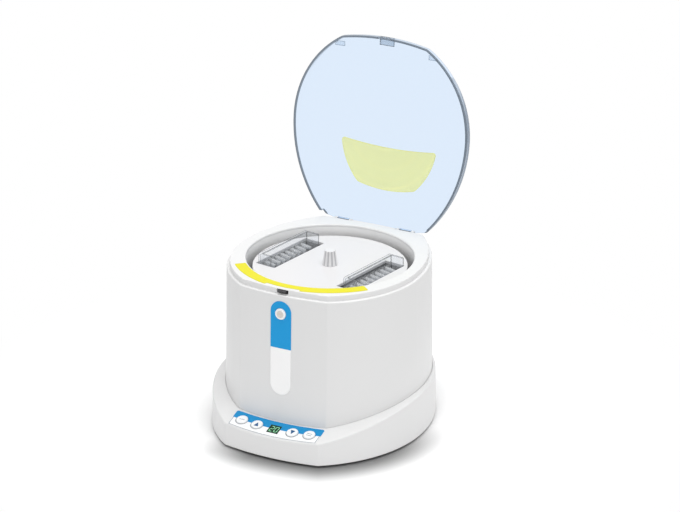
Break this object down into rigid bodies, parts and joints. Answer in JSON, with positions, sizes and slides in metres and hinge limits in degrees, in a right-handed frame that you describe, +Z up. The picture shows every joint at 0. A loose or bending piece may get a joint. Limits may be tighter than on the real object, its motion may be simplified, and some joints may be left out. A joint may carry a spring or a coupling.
{
  "type": "microplate centrifuge",
  "caption": "Bench centrifuge for microplates: round chamber with a slotted rotor under a clear hinged lid, keys and a display on a sloped front shelf.",
  "frame": {"origin": "on the bench under the rotor's axis", "axes": "+Z up, front of the instrument towards -Y, +X to the right as seen from the front"},
  "size_m": [0.2334, 0.2751, 0.3898],
  "materials": {
    "white_shell": "satin",
    "dark_plate": "matt",
    "foot_rubber": "matt",
    "screw_steel": "plain",
    "bowl_grey": "satin",
    "strip_yellow": "printed film",
    "badge_blue": "gloss",
    "badge_white": "gloss",
    "button_white": "gloss",
    "latch_dark": "matt",
    "spring_steel": "plain",
    "switch_black": "matt",
    "overlay_blue": "film",
    "display_dark": "gloss",
    "module_black": "matt",
    "board_green": "solder mask",
    "key_white": "satin",
    "motor_steel": "plated",
    "core_steel": "laminated",
    "winding_copper": "enamelled",
    "magnet_grey": "ground",
    "bearing_steel": "polished",
    "shaft_steel": "ground",
    "seal_rubber": "matt",
    "plate_steel": "plated",
    "hub_aluminium": "machined",
    "disc_white": "satin",
    "carrier_grey": "satin",
    "knob_grey": "satin",
    "plate_clear": "clear plastic",
    "lid_clear": "clear tinted plastic",
    "film_yellow": "printed film",
    "bumper_grey": "matt",
    "bracket_white": "satin",
    "inlet_black": "matt",
    "rocker_black": "gloss",
    "cable_grey": "matt",
    "part_mixed": "matt"
  },
  "bodies": {
    "base": {"base_shell": "white_shell", "body_shell": "white_shell", "bottom_plate": "dark_plate", "rubber_feet": "foot_rubber", "bottom_screws": "screw_steel", "chamber_bowl": "bowl_grey", "bowl_screws": "screw_steel", "rim_strip": "strip_yellow", "badge_upper": "badge_blue", "badge_lower": "badge_white", "latch_pin": "shaft_steel", "latch_bracket": "latch_dark", "latch_spring": "spring_steel", "lid_switch": "switch_black", "control_overlay": "overlay_blue", "display_window": "display_dark", "display_module": "module_black", "control_board": "board_green", "key_switches": "switch_black", "board_screws": "screw_steel", "motor_can": "motor_steel", "motor_cap": "motor_steel", "motor_core": "core_steel", "motor_windings": "winding_copper", "motor_bearings": "bearing_steel", "shaft_seal": "seal_rubber", "motor_plate": "plate_steel", "motor_dampers": "foot_rubber", "motor_screws": "screw_steel", "hinge_brackets": "bracket_white", "hinge_pins": "shaft_steel", "power_inlet": "inlet_black", "switch_frame": "inlet_black", "main_board": "board_green", "board_parts": "part_mixed", "panel_cable": "cable_grey"},
    "rotor": {"motor_shaft": "shaft_steel", "motor_magnet": "magnet_grey", "rotor_hub": "hub_aluminium", "rotor_disc": "disc_white", "left_carrier": "carrier_grey", "right_carrier": "carrier_grey", "rotor_screws": "screw_steel"},
    "lid": {"lid_shell": "lid_clear", "lid_hook": "lid_clear", "lid_film": "film_yellow", "lid_bumpers": "bumper_grey"},
    "knob": {"rotor_knob": "knob_grey"},
    "left_plate": {"left_plate": "plate_clear"},
    "right_plate": {"right_plate": "plate_clear"},
    "button": {"open_button": "button_white"},
    "latch": {"latch_lever": "latch_dark"},
    "key_start": {"key_start": "key_white"},
    "key_up": {"key_up": "key_white"},
    "key_down": {"key_down": "key_white"},
    "key_stop": {"key_stop": "key_white"},
    "rocker": {"switch_rocker": "rocker_black"}
  },
  "joints": [
    {"name": "lid_hinge", "type": "hinge", "parent": "base", "child": "lid", "pos_m": [0, 0.1032, 0.1802], "axis": [-1, 0, 0], "range_deg": [-96.8, 0]},
    {"name": "rotor_spin", "type": "hinge", "parent": "base", "child": "rotor", "pos_m": [0, 0, 0.15], "axis": [0, 0, 1], "continuous": true},
    {"name": "knob_turn", "type": "hinge", "parent": "rotor", "child": "knob", "pos_m": [0, 0, 0.1723], "axis": [0, 0, 1], "continuous": true},
    {"name": "left_plate_lift", "type": "slide", "parent": "rotor", "child": "left_plate", "axis": [0, 0, 1], "range_m": [0, 0.135]},
    {"name": "right_plate_lift", "type": "slide", "parent": "rotor", "child": "right_plate", "axis": [0, 0, 1], "range_m": [0, 0.135]},
    {"name": "button_press", "type": "slide", "parent": "base", "child": "button", "axis": [0, 1, 0], "range_m": [0, 0.0015], "stiffness_N_per_m": 600, "springref_m": -0.0008},
    {"name": "latch_swing", "type": "hinge", "parent": "base", "child": "latch", "pos_m": [0, -0.0991, 0.12], "axis": [-1, 0, 0], "range_deg": [0, 2.4]},
    {"name": "key_start_press", "type": "slide", "parent": "base", "child": "key_start", "axis": [0, 0.284, -0.9588], "range_m": [0, 0.0006], "stiffness_N_per_m": 1500, "springref_m": -0.0003},
    {"name": "key_up_press", "type": "slide", "parent": "base", "child": "key_up", "axis": [0, 0.284, -0.9588], "range_m": [0, 0.0006], "stiffness_N_per_m": 1500, "springref_m": -0.0003},
    {"name": "key_down_press", "type": "slide", "parent": "base", "child": "key_down", "axis": [0, 0.284, -0.9588], "range_m": [0, 0.0006], "stiffness_N_per_m": 1500, "springref_m": -0.0003},
    {"name": "key_stop_press", "type": "slide", "parent": "base", "child": "key_stop", "axis": [0, 0.284, -0.9588], "range_m": [0, 0.0006], "stiffness_N_per_m": 1500, "springref_m": -0.0003},
    {"name": "rocker_tilt", "type": "hinge", "parent": "base", "child": "rocker", "pos_m": [-0.034, 0.1098, 0.014], "axis": [0, 0, 1], "range_deg": [-16, 0]}
  ],
  "couplings": [
    {"joint": "latch_swing", "follows": "button_press", "rad_per_m": 27.8}
  ]
}
